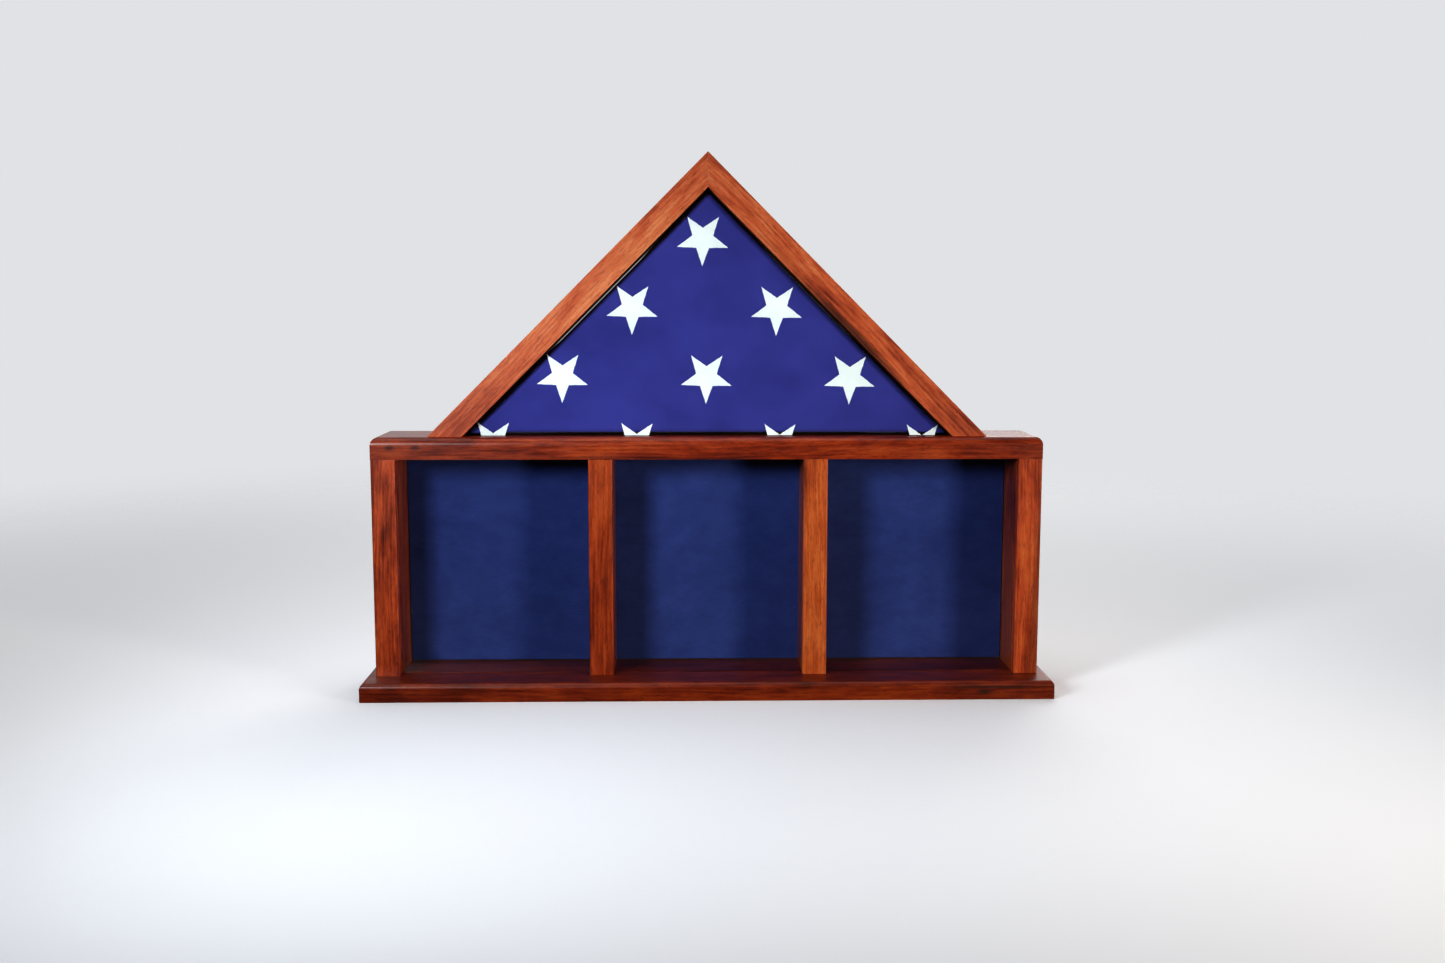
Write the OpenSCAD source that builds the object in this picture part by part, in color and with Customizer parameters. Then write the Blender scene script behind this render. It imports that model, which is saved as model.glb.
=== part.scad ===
// Folded flag display case: a glazed triangular flag case standing on a glazed shadow box
// with three compartments. X runs along the length, the glazed front faces -Y and Z is up.
// The origin is the centre of the underside of the base board.

/* [Shadow box] */
// Length of the shadow box over its two side boards
box_w = 635; // [600:5:760]
// Depth of the side boards and of the top board
box_d = 71; // [66:1:100]
// Height of the side boards and dividers
box_h = 208; // [170:1:260]
// Thickness of the side boards
side_t = 23; // [19:0.5:28]
// Thickness of the dividers
divider_t = 23; // [19:0.5:28]
// Thickness of the top board
top_t = 21; // [20:0.5:28]
// Radius routed along the top board's upper front and end edges
top_round = 7.5; // [3:0.5:10]
// Radius that softens the front edges of the side boards and dividers
edge_round = 1.2; // [0.6:0.2:2]

/* [Base board] */
// Thickness of the base board
base_t = 17.5; // [14:0.5:24]
// How far the base board stands out in front of the side boards
base_front = 30; // [15:1:45]
// How far the base board stands out past each side board
base_side = 10; // [4:1:25]
// Radius routed along the base board's upper front and end edges
base_round = 5; // [2:0.5:8]

/* [Flag case] */
// Height of the triangle above the top board, which is also half its length
tri_h = 265; // [230:1:280]
// Width of the sloping rails
rail_w = 23; // [19:0.5:28]
// How far the flag case stands behind the shadow box's front
tri_set = 7; // [0:0.5:12]
// Thickness of the folded flag
flag_d = 38; // [28:1:40]
// Gap between the folded flag and the glass in front of it
flag_gap = 1; // [0.5:0.5:3]

/* [Glass] */
// Thickness of every pane
glass_t = 2.4; // [2:0.1:4]
// Depth of the grooves that hold the panes
groove_deep = 4; // [3:0.5:6]
// Gap left round each pane in its groove
glass_clear = 0.3; // [0.2:0.1:0.6]
// How far the lower panes sit behind the shadow box's front
pane_set = 11; // [6:0.5:16]
// How far the flag pane sits behind the flag case's front
flag_pane_set = 6.5; // [5:0.5:10]

/* [Rear door] */
// Thickness of the plywood door behind the shadow box
door_t = 6.5; // [5:0.5:9]
// Thickness of the pin board on the inside of the door
pin_board_t = 4; // [3:0.5:6]
// Thickness of the felt on the pin board
felt_t = 1; // [0.8:0.1:2]
// Gap between the door and each side board
door_side_gap = 0.6; // [0.5:0.1:1.5]
// Gap above the door and below it
door_end_gap = 1.2; // [1:0.1:2]
// Gap between the felt and the back edges of the dividers
felt_gap = 0.4; // [0.3:0.1:1]

/* [Flag back panel] */
// Thickness of the plywood panel behind the flag
panel_t = 5; // [4:0.5:8]
// Gap between the panel and the flag case round it
panel_gap = 0.6; // [0.5:0.1:1.5]
// Depth of the corner blocks that the panel shuts against
block_d = 10; // [8:1:14]
// Length of the foot of each lower corner block
block_foot = 38; // [34:1:50]
// Half the width of the corner block under the peak
block_peak = 27; // [25:1:34]

/* [Hinges] */
// Length of each butt hinge
hinge_w = 45; // [35:5:60]
// Height of each hinge leaf from the pin to its free edge
leaf_h = 17; // [15:0.5:19]
// Thickness of a hinge leaf
leaf_t = 1.2; // [1:0.1:1.6]
// Diameter of the hinge knuckles
knuckle_dia = 5; // [4.5:0.1:6]
// Diameter of the hinge pins
pin_dia = 2.5; // [2:0.1:3]
// Distance of each hinge's middle from the middle of the door
hinge_x = 205; // [150:5:230]

/* [Knobs and catches] */
// Diameter of a knob's head
knob_dia = 16; // [12:1:22]
// How far a knob stands out
knob_out = 15; // [12:1:20]
// Height of the door knob above the door's bottom edge
door_knob_up = 30; // [20:1:60]
// Height of the flag panel knob above the panel's bottom edge
panel_knob_up = 40; // [30:1:80]
// Diameter of the disc magnets and of the steel discs that they hold
magnet_dia = 10; // [8:1:12]
// Thickness of a disc magnet
magnet_t = 4; // [3:0.5:5]
// Thickness of a steel disc
strike_t = 1.5; // [1:0.5:2]

/* [Joinery] */
// Diameter of the dowels
dowel_dia = 8; // [6:1:10]
// Length of the dowels between the posts and the top board
dowel_len = 36; // [30:1:44]
// Length of the dowels across the mitre at the peak
mitre_dowel_len = 22; // [16:1:24]
// Shank diameter of the wood screws in the case
screw_dia = 4; // [3.5:0.5:5]
// Length of the screws that hold the posts to the base board
base_screw_len = 45; // [38:1:60]
// Length of the screws that hold the rails to the top board
rail_screw_len = 36; // [30:1:38]
// Shank diameter of the hinge screws
hinge_screw_dia = 2.5; // [2:0.5:3]
// Length of the screws in the top board
case_screw_len = 13; // [10:1:19]
// Length of the screws in the door
door_screw_len = 8; // [6:0.5:9]

/* [Hidden] */
$fn = 64;
eps = 0.01;
// Gap between a pin and the knuckles that turn on it
pin_clear = 0.05;
// Gap between the knuckles of the two leaves
knuckle_gap = 0.25;
// Gap between a knuckle and the wood behind it
knuckle_stand = 0.3;
// Space past the end of a dowel, a screw or a magnet in its hole
end_clear = 0.5;
// Width of a countersunk head against its shank. Its sides slope at 45 degrees
head_ratio = 2;

front = -(base_front + box_d) / 2 + base_front;
back = front + box_d;
base_w = box_w + 2 * base_side;
post_z = base_t;
top_z = post_z + box_h;
case_z = top_z + top_t;
inner_w = box_w - 2 * side_t;
bay_w = (inner_w - 2 * divider_t) / 3;
bay_step = bay_w + divider_t;
divider_x = bay_step / 2;
side_x = (box_w - side_t) / 2;
bays = [-bay_step, 0, bay_step];
posts = [-side_x, -divider_x, divider_x, side_x];

groove_w = glass_t + 2 * glass_clear;
pane_y = front + pane_set;
case_front = front + tri_set;
case_d = back - case_front;
flag_pane_y = case_front + flag_pane_set;
peak_in = tri_h - rail_w * sqrt(2);
groove_out = groove_deep * sqrt(2);

door_w = inner_w - 2 * door_side_gap;
door_h = box_h - 2 * door_end_gap;
door_z = post_z + door_end_gap;
door_y = back - door_t;
pin_board_y = door_y - pin_board_t;
felt_y = pin_board_y - felt_t;
divider_back = felt_y - felt_gap;

panel_y = back - panel_t;
block_y = panel_y - panel_gap - block_d;
flag_y = flag_pane_y + glass_t + flag_gap;

axis_y = back + knuckle_dia / 2 + knuckle_stand;
axis_z = top_z - door_end_gap / 2;
knuckles = 5;
knuckle_w = hinge_w / knuckles;
leaf_screw_x = hinge_w / 2 - 8;
leaf_edge = knuckle_dia / 2 + knuckle_stand;
leaf_screw_up = (leaf_edge + leaf_h) / 2;

// Middles of the inscribed circles of the corner blocks, where their magnets sit
foot_in = block_foot * (1 - sqrt(0.5));
peak_block_in = block_peak * (sqrt(2) - 1);
block_spots = [
  [-(peak_in - block_foot + foot_in), foot_in],
  [peak_in - block_foot + foot_in, foot_in],
  [0, peak_in - block_peak + peak_block_in]
];
// Height of the door's magnets above the door's bottom edge
door_catch_up = 18;

// ---------- shapes that repeat ----------

// Runs its children, drawn in the XZ plane, back along +Y from y for a depth of d
module upright(y, d) {
  translate([0, y + d, 0])
    rotate([90, 0, 0])
      linear_extrude(d)
        children();
}

// A board with its upper front edge rounded, and its two upper end edges
module routed_board(w, d, t, r) {
  intersection() {
    translate([-w / 2, 0, 0])
      rotate([90, 0, 90])
        linear_extrude(w)
          union() {
            square([d, t - r]);
            translate([r, 0])
              square([d - r, t]);
            translate([r, t - r])
              circle(r);
          }
    upright(0, d)
      union() {
        translate([-w / 2, 0])
          square([w, t - r]);
        translate([-w / 2 + r, 0])
          square([w - 2 * r, t]);
        for (s = [-1, 1])
          translate([s * (w / 2 - r), t - r])
            circle(r);
      }
  }
}

// A post seen from above, with its two front edges softened
module post_plan(w, d) {
  translate([-w / 2, edge_round])
    square([w, d - edge_round]);
  translate([-w / 2 + edge_round, 0])
    square([w - 2 * edge_round, d]);
  for (s = [-1, 1])
    translate([s * (w / 2 - edge_round), edge_round])
      circle(edge_round);
}

// A right-angled triangle standing on its long side, with its peak at height h
module peak_plan(h) {
  polygon([[-h, 0], [h, 0], [0, h]]);
}

// A hole or a dowel along +Z
module rod(dia, len) {
  cylinder(d = dia, h = len);
}

// A slotted countersunk screw with the top of its head at the origin, pointing along +Z
module screw(dia, len) {
  difference() {
    union() {
      cylinder(d1 = dia * head_ratio, d2 = dia, h = dia * (head_ratio - 1) / 2);
      cylinder(d = dia, h = len - dia / 2);
      translate([0, 0, len - dia / 2])
        cylinder(d1 = dia, d2 = dia / 4, h = dia / 2);
    }
    translate([-dia, -dia / 8, -eps])
      cube([dia * 2, dia / 4, dia / 4 + eps]);
  }
}

// The hole for such a screw
module screw_hole(dia, len) {
  translate([0, 0, -eps])
    cylinder(d1 = dia * head_ratio + 2 * eps, d2 = dia, h = dia * (head_ratio - 1) / 2 + eps);
  cylinder(d = dia, h = len + end_clear);
}

// A turned knob on the back of a panel, pointing along +Z
module knob() {
  neck = knob_dia * 0.28;
  foot = knob_dia * 0.36;
  head_z = knob_out - knob_dia * 0.32;
  difference() {
    rotate_extrude()
      union() {
        square([foot, 1.5]);
        square([neck, head_z]);
        translate([0, head_z - knob_dia * 0.2])
          square([knob_dia * 0.3, knob_dia * 0.2 + knob_out - head_z]);
        intersection() {
          translate([knob_dia * 0.18, head_z])
            circle(knob_dia * 0.32);
          square([knob_dia, knob_out]);
        }
      }
    translate([0, 0, -eps])
      cylinder(d = hinge_screw_dia, h = knob_out * 0.6);
  }
}

// ---------- shadow box ----------

// The post and rail screws, dowels and panes each work out their places once, in these lists
post_screw_y = [front + 20, back - 22];
dowel_y = [front + 22, back - 22];
rail_screw_x = peak_in + rail_w * sqrt(2) * 0.3;
rail_screw_y = [case_front + 18, back - 18];

module at_base_screws() {
  for (x = posts, y = post_screw_y)
    translate([x, y, 1])
      children();
}

module at_post_dowels() {
  for (x = posts, y = dowel_y)
    translate([x, y, top_z])
      children();
}

module at_rail_screws() {
  for (s = [-1, 1], y = rail_screw_y)
    translate([s * rail_screw_x, y, top_z + 1])
      children();
}

module pane_grooves(z, deep) {
  for (x = bays)
    translate([x - bay_w / 2 - groove_deep, pane_y - glass_clear, z])
      cube([bay_w + 2 * groove_deep, groove_w, deep + eps]);
}

module base_board() {
  color("#701d12")
    difference() {
      translate([0, front - base_front, 0])
        routed_board(base_w, base_front + box_d, base_t, base_round);
      pane_grooves(base_t - groove_deep, groove_deep);
      at_base_screws()
        screw_hole(screw_dia, base_screw_len);
      at_base_screws()
        translate([0, 0, -1 - eps])
          rod(screw_dia * head_ratio, 1 + 2 * eps);
    }
}

// One side board or divider, centred on x, with a pane groove in each face named in faces
module post(x, w, d, faces) {
  difference() {
    translate([x, front, post_z])
      linear_extrude(box_h)
        post_plan(w, d);
    for (s = faces)
      translate([x + s * w / 2 - (s > 0 ? groove_deep : eps), pane_y - glass_clear, post_z - eps])
        cube([groove_deep + eps, groove_w, box_h + 2 * eps]);
    at_base_screws()
      rod(screw_dia, base_screw_len + end_clear);
    at_post_dowels()
      translate([0, 0, -dowel_len * 0.6 - end_clear])
        rod(dowel_dia, dowel_len);
  }
}

module left_side() {
  color("#8a2f1c")
    post(-side_x, side_t, box_d, [1]);
}

module right_side() {
  color("#8a2f1c")
    post(side_x, side_t, box_d, [-1]);
}

module divider(x) {
  color("#a34a24")
    difference() {
      post(x, divider_t, divider_back - front, [-1, 1]);
      translate([x, divider_back - magnet_t, door_z + door_catch_up])
        rotate([-90, 0, 0])
          rod(magnet_dia, magnet_t + eps);
    }
}

module left_divider() {
  divider(-divider_x);
}

module right_divider() {
  divider(divider_x);
}

module top_board() {
  color("#82230f")
    difference() {
      translate([0, front, top_z])
        routed_board(box_w, box_d, top_t, top_round);
      pane_grooves(top_z - eps, groove_deep);
      at_post_dowels()
        translate([0, 0, -eps])
          rod(dowel_dia, dowel_len * 0.4 + end_clear);
      at_rail_screws()
        screw_hole(screw_dia, rail_screw_len);
      at_rail_screws()
        translate([0, 0, -1 - eps])
          rod(screw_dia * head_ratio, 1 + 2 * eps);
      translate([-flag_pane_half(), flag_pane_y - glass_clear, case_z - groove_deep])
        cube([2 * flag_pane_half(), groove_w, groove_deep + eps]);
      for (s = [-1, 1])
        at_case_leaf_screws(s)
          screw_hole(hinge_screw_dia, case_screw_len);
    }
}

module post_dowels() {
  color("#d9b98a")
    at_post_dowels()
      translate([0, 0, -dowel_len * 0.6])
        rod(dowel_dia, dowel_len);
}

module base_screws() {
  color("silver")
    at_base_screws()
      screw(screw_dia, base_screw_len);
}

// ---------- lower panes ----------

module lower_pane(x) {
  slack = groove_deep - glass_clear;
  color("lightblue", 0.35)
    translate([x - bay_w / 2 - slack, pane_y, post_z - slack])
      cube([bay_w + 2 * slack, glass_t, box_h + 2 * slack]);
}

module left_glass() {
  lower_pane(bays[0]);
}

module centre_glass() {
  lower_pane(bays[1]);
}

module right_glass() {
  lower_pane(bays[2]);
}

// ---------- rear door ----------

module at_door_catches(y) {
  for (x = [-divider_x, divider_x])
    translate([x, y, door_z + door_catch_up])
      rotate([-90, 0, 0])
        children();
}

// Outer face of the door at its knob, facing back
module at_door_knob() {
  translate([0, back, door_z + door_knob_up])
    rotate([-90, 0, 0])
      children();
}

module rear_door() {
  color("#b9824e")
    difference() {
      translate([-door_w / 2, door_y, door_z])
        cube([door_w, door_t, door_h]);
      at_door_knob()
        translate([0, 0, -door_t])
          screw_hole(hinge_screw_dia, knob_screw_len());
      for (s = [-1, 1])
        at_door_leaf_screws(s)
          screw_hole(hinge_screw_dia, door_screw_len);
    }
}

module pin_board() {
  color("#8b6b4a")
    difference() {
      translate([-door_w / 2, pin_board_y, door_z])
        cube([door_w, pin_board_t, door_h]);
      at_door_catches(pin_board_y - eps)
        rod(magnet_dia, strike_t + eps);
      for (s = [-1, 1])
        at_door_leaf_screws(s)
          screw_hole(hinge_screw_dia, door_screw_len);
    }
}

module felt_cover() {
  color("#16204f")
    translate([-door_w / 2, felt_y, door_z])
      cube([door_w, felt_t, door_h]);
}

module door_magnets() {
  color("silver")
    at_door_catches(divider_back - magnet_t)
      rod(magnet_dia, magnet_t);
}

module door_strikes() {
  color("gray")
    at_door_catches(pin_board_y)
      rod(magnet_dia, strike_t);
}

function knob_screw_len() = door_t + knob_out * 0.5;

module door_knob() {
  color("#b08d3e")
    at_door_knob()
      knob();
}

module door_knob_screw() {
  color("silver")
    at_door_knob()
      translate([0, 0, -door_t])
        screw(hinge_screw_dia, knob_screw_len());
}

// ---------- hinges ----------

// Heads of the screws in the top board's back edge, pointing forward into it
module at_case_leaf_screws(side) {
  for (s = [-1, 1])
    translate([side * hinge_x + s * leaf_screw_x, back + leaf_t, axis_z + leaf_screw_up])
      rotate([90, 0, 0])
        children();
}

// Heads of the screws in the door's back face, pointing forward into it
module at_door_leaf_screws(side) {
  for (s = [-1, 1])
    translate([side * hinge_x + s * leaf_screw_x, back + leaf_t, axis_z - leaf_screw_up])
      rotate([90, 0, 0])
        children();
}

// One leaf: dir is 1 for the upper leaf and -1 for the lower, own lists its knuckles
module leaf(side, dir, own, bore) {
  x0 = side * hinge_x - hinge_w / 2;
  low = dir > 0 ? leaf_edge : -leaf_h;
  difference() {
    union() {
      translate([x0, back, axis_z + low])
        cube([hinge_w, leaf_t, leaf_h - leaf_edge]);
      for (k = own) {
        trim_low = k == 0 ? 0 : knuckle_gap / 2;
        trim_high = k == knuckles - 1 ? 0 : knuckle_gap / 2;
        w = knuckle_w - trim_low - trim_high;
        translate([x0 + k * knuckle_w + trim_low, axis_y, axis_z])
          rotate([0, 90, 0])
            rod(knuckle_dia, w);
        translate([x0 + k * knuckle_w + trim_low, back, axis_z - (dir > 0 ? 0 : leaf_edge + eps)])
          cube([w, leaf_t, leaf_edge + eps]);
      }
    }
    translate([x0 - eps, axis_y, axis_z])
      rotate([0, 90, 0])
        rod(bore, hinge_w + 2 * eps);
  }
}

module case_leaf(side) {
  color("#c9a24b")
    difference() {
      leaf(side, 1, [0, 2, 4], pin_dia);
      at_case_leaf_screws(side)
        screw_hole(hinge_screw_dia, case_screw_len);
    }
}

module door_leaf(side) {
  color("#c9a24b")
    difference() {
      leaf(side, -1, [1, 3], pin_dia + 2 * pin_clear);
      at_door_leaf_screws(side)
        screw_hole(hinge_screw_dia, door_screw_len);
    }
}

module left_case_leaf() {
  case_leaf(-1);
}

module right_case_leaf() {
  case_leaf(1);
}

module left_door_leaf() {
  door_leaf(-1);
}

module right_door_leaf() {
  door_leaf(1);
}

module hinge_pins() {
  head_w = 0.8;
  color("#d4b25a")
    for (side = [-1, 1])
      translate([side * hinge_x - hinge_w / 2, axis_y, axis_z])
        rotate([0, 90, 0]) {
          rod(pin_dia, hinge_w);
          translate([0, 0, -head_w])
            rod(knuckle_dia * 0.8, head_w);
          translate([0, 0, hinge_w])
            rod(knuckle_dia * 0.8, head_w);
        }
}

module case_leaf_screws() {
  color("#d4b25a")
    for (side = [-1, 1])
      at_case_leaf_screws(side)
        screw(hinge_screw_dia, case_screw_len);
}

module door_leaf_screws() {
  color("#d4b25a")
    for (side = [-1, 1])
      at_door_leaf_screws(side)
        screw(hinge_screw_dia, door_screw_len);
}

// ---------- flag case ----------

function flag_pane_half() = peak_in + groove_out + groove_deep;

// One sloping rail in the XZ plane, standing on z = 0 with its mitre on x = 0
module rail_plan(side) {
  polygon([[side * tri_h, 0], [0, tri_h], [0, peak_in], [side * peak_in, 0]]);
}

module at_peak_dowels(side) {
  for (y = [case_front + case_d * 0.35, case_front + case_d * 0.72])
    translate([side * mitre_dowel_len / 2, y, case_z + (tri_h + peak_in - mitre_dowel_len / 2) / 2])
      rotate([0, side * -90, 0])
        children();
}

module rail(side) {
  color("#a8442a")
    difference() {
      translate([0, 0, case_z])
        upright(case_front, case_d)
          rail_plan(side);
      translate([0, 0, case_z])
        upright(flag_pane_y - glass_clear, groove_w)
          translate([0, -eps])
            peak_plan(peak_in + groove_out);
      at_peak_dowels(side)
        translate([0, 0, -end_clear])
          rod(dowel_dia, mitre_dowel_len);
      at_rail_screws()
        rod(screw_dia, rail_screw_len + end_clear);
    }
}

module left_rail() {
  rail(-1);
}

module right_rail() {
  rail(1);
}

module peak_dowels() {
  color("#d9b98a")
    at_peak_dowels(1)
      rod(dowel_dia, mitre_dowel_len);
}

module rail_screws() {
  color("silver")
    at_rail_screws()
      screw(screw_dia, rail_screw_len);
}

module flag_glass() {
  slack = groove_deep - glass_clear;
  color("lightblue", 0.35)
    translate([0, 0, case_z - slack])
      upright(flag_pane_y, glass_t)
        peak_plan(peak_in + slack * sqrt(2) + slack);
}

module folded_flag() {
  snug = 1.5;
  color("#2b2c7d")
    translate([0, 0, case_z])
      upright(flag_y, flag_d)
        peak_plan(peak_in - snug);
}

module corner_blocks() {
  color("#a8442a")
    difference() {
      translate([0, 0, case_z])
        upright(block_y, block_d) {
          for (s = [-1, 1])
            polygon([
              [s * peak_in, 0],
              [s * (peak_in - block_foot), 0],
              [s * (peak_in - block_foot), block_foot]
            ]);
          translate([0, peak_in - block_peak])
            peak_plan(block_peak);
        }
      at_flag_catches(block_y + block_d - magnet_t)
        rod(magnet_dia, magnet_t + eps);
    }
}

// ---------- flag back panel ----------

module at_flag_catches(y) {
  for (p = block_spots)
    translate([p[0], y, case_z + p[1]])
      rotate([-90, 0, 0])
        children();
}

module at_panel_knob() {
  translate([0, back, case_z + panel_knob_up])
    rotate([-90, 0, 0])
      children();
}

function panel_screw_len() = panel_t + knob_out * 0.5;

module flag_panel() {
  color("#b9824e")
    difference() {
      translate([0, 0, case_z + panel_gap])
        upright(panel_y, panel_t)
          peak_plan(peak_in - panel_gap * (1 + sqrt(2)));
      at_flag_catches(panel_y - eps)
        rod(magnet_dia, strike_t + eps);
      at_panel_knob()
        translate([0, 0, -panel_t])
          screw_hole(hinge_screw_dia, panel_screw_len());
    }
}

module flag_panel_knob() {
  color("#b08d3e")
    at_panel_knob()
      knob();
}

module flag_knob_screw() {
  color("silver")
    at_panel_knob()
      translate([0, 0, -panel_t])
        screw(hinge_screw_dia, panel_screw_len());
}

module flag_magnets() {
  color("silver")
    at_flag_catches(block_y + block_d - magnet_t)
      rod(magnet_dia, magnet_t);
}

module flag_strikes() {
  color("gray")
    at_flag_catches(panel_y)
      rod(magnet_dia, strike_t);
}

base_board();
left_side();
right_side();
left_divider();
right_divider();
top_board();
left_glass();
centre_glass();
right_glass();
rear_door();
pin_board();
felt_cover();
left_case_leaf();
right_case_leaf();
left_door_leaf();
right_door_leaf();
hinge_pins();
case_leaf_screws();
door_leaf_screws();
door_knob();
door_knob_screw();
door_magnets();
door_strikes();
post_dowels();
base_screws();
left_rail();
right_rail();
peak_dowels();
rail_screws();
flag_glass();
folded_flag();
corner_blocks();
flag_panel();
flag_panel_knob();
flag_knob_screw();
flag_magnets();
flag_strikes();
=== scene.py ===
# A folded flag display case: a glazed triangular flag case on a glazed shadow box.
# The sections follow the case as it is put together, from the base board up to the peak.
import bpy
import bmesh
import math
from mathutils import Euler, Matrix, Vector


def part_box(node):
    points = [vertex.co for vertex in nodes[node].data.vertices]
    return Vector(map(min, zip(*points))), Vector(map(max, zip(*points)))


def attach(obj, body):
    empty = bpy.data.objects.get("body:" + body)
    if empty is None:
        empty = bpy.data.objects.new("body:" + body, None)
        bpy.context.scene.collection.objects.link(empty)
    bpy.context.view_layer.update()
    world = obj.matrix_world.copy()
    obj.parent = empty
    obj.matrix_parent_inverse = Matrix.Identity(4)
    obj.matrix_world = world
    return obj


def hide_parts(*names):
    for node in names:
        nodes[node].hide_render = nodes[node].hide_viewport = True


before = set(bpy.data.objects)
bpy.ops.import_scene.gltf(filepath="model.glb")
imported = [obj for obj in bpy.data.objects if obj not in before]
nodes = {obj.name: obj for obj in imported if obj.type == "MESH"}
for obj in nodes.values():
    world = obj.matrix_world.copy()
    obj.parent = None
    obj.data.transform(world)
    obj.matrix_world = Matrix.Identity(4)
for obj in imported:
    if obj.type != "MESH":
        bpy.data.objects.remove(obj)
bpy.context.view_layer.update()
mm = 0.001


# ---- Camera, floor and lights -------------------------------------------------------------
# The viewer stands a step back from the middle of the case and looks slightly down on it.
# A cool lamp stands to the left and a warmer, lower one further off to the right.
scene = bpy.context.scene
box_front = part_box("left_side")[0].y
eye = Vector((-22.3 * mm, box_front - 1387 * mm, 378.5 * mm))
# The three angles are in degrees.
look_down = 7.145
look_right = 1.478
head_roll = 0.069

camera_data = bpy.data.cameras.new("camera")
camera_data.sensor_width = 36.0
camera_data.lens = 36.84
camera = bpy.data.objects.new("camera", camera_data)
aim = Euler((math.radians(90 - look_down), 0, math.radians(-look_right)), "XYZ").to_matrix()
roll = Matrix.Rotation(math.radians(head_roll), 3, "Z")
camera.matrix_world = Matrix.Translation(eye) @ (aim @ roll).to_4x4()
scene.collection.objects.link(camera)
scene.camera = camera
scene.view_settings.view_transform = "Standard"
scene.view_settings.use_curve_mapping = True
tone_curve = scene.view_settings.curve_mapping
contrast = 1.3
all_colours = tone_curve.curves[3]
for level in (0.02, 0.08, 0.2, 0.45, 0.7):
    all_colours.points.new(level, level ** contrast)
tone_curve.update()


middle = Vector((0, 0, 230 * mm))


def lamp(name, place, width, watts, colour, spread):
    """A square soft box that faces the middle of the case. spread is its beam's width in degrees."""
    data = bpy.data.lights.new(name, "AREA")
    data.shape = "SQUARE"
    data.size = width
    data.energy = watts
    data.color = colour
    data.spread = math.radians(spread)
    obj = bpy.data.objects.new(name, data)
    obj.location = place
    obj.rotation_euler = (middle - Vector(place)).to_track_quat("-Z", "Y").to_euler()
    scene.collection.objects.link(obj)


lamp("left_lamp", (-0.641, box_front - 0.913, 0.54), width=0.27, watts=2.56,
     colour=(0.86, 0.93, 1.0), spread=75)
lamp("right_lamp", (1.27, box_front - 1.15, 0.30), width=0.34, watts=2.65,
     colour=(1.0, 0.90, 0.78), spread=60)
lamp("high_soft_box", (-0.2, -0.3, 2.6), width=1.8, watts=19.0, colour=(1.0, 1.0, 1.0), spread=170)
lamp("rear_soft_box", (0.7, 2.4, 1.8), width=1.8, watts=30.0, colour=(1.0, 0.98, 0.96), spread=170)


def link(tree, source, target):
    tree.links.new(source, target)


# The room is pale behind the case and dark behind the viewer, so the panes stay clear.
pale, dim = (0.80, 0.81, 0.83), (0.02, 0.02, 0.022)
dim_until, pale_from = -0.25, 0.65
world = bpy.data.worlds.new("pale_room")
world.use_nodes = True
room = world.node_tree
backdrop = room.nodes["Background"]
sky = room.nodes.new("ShaderNodeTexCoord")
parts = room.nodes.new("ShaderNodeSeparateXYZ")
rear = room.nodes.new("ShaderNodeMapRange")
rear.interpolation_type = "SMOOTHSTEP"
rear.inputs["From Min"].default_value = dim_until
rear.inputs["From Max"].default_value = pale_from
ray = room.nodes.new("ShaderNodeLightPath")
seen = room.nodes.new("ShaderNodeMath")
seen.operation = "MAXIMUM"
blend = room.nodes.new("ShaderNodeMix")
blend.data_type = "RGBA"
blend.inputs[6].default_value = (*dim, 1)
blend.inputs[7].default_value = (*pale, 1)
link(room, sky.outputs["Generated"], parts.inputs[0])
link(room, parts.outputs["Y"], rear.inputs["Value"])
link(room, ray.outputs["Is Camera Ray"], seen.inputs[0])
link(room, rear.outputs[0], seen.inputs[1])
link(room, seen.outputs[0], blend.inputs["Factor"])
link(room, blend.outputs[2], backdrop.inputs["Color"])
scene.world = world

# The floor is a wide disc that fades into the room, so no horizon shows. It lies a hair under the
# case, and is dark in reflections.
floor_radius, floor_drop = 3.2, 0.2 * mm
solid_until, gone_by = 0.55, 2.3
floor_grey, floor_reflected = (0.88, 0.89, 0.91), (0.03, 0.03, 0.03)
floor_mesh = bpy.data.meshes.new("floor")
bm = bmesh.new()
bmesh.ops.create_circle(bm, cap_ends=True, segments=96, radius=floor_radius,
                        matrix=Matrix.Translation((0, 0, -floor_drop)))
bm.to_mesh(floor_mesh)
bm.free()
floor = bpy.data.objects.new("floor", floor_mesh)
scene.collection.objects.link(floor)
floor_paint = bpy.data.materials.new("floor_paint")
floor_paint.use_nodes = True
tree = floor_paint.node_tree
paint = tree.nodes["Principled BSDF"]
paint.inputs["Roughness"].default_value = 0.95
paint.inputs["Specular IOR Level"].default_value = 0.1
spot = tree.nodes.new("ShaderNodeTexCoord")
away = tree.nodes.new("ShaderNodeVectorMath")
away.operation = "LENGTH"
fade = tree.nodes.new("ShaderNodeMapRange")
fade.interpolation_type = "SMOOTHERSTEP"
fade.inputs["From Min"].default_value = solid_until
fade.inputs["From Max"].default_value = gone_by
fade.inputs["To Min"].default_value = 1.0
fade.inputs["To Max"].default_value = 0.0
ray = tree.nodes.new("ShaderNodeLightPath")
tint = tree.nodes.new("ShaderNodeMix")
tint.data_type = "RGBA"
tint.inputs[6].default_value = (*floor_grey, 1)
tint.inputs[7].default_value = (*floor_reflected, 1)
link(tree, spot.outputs["Object"], away.inputs[0])
link(tree, away.outputs["Value"], fade.inputs["Value"])
link(tree, fade.outputs[0], paint.inputs["Alpha"])
link(tree, ray.outputs["Is Reflection Ray"], tint.inputs["Factor"])
link(tree, tint.outputs[2], paint.inputs["Base Color"])
floor_mesh.materials.append(floor_paint)


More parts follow.
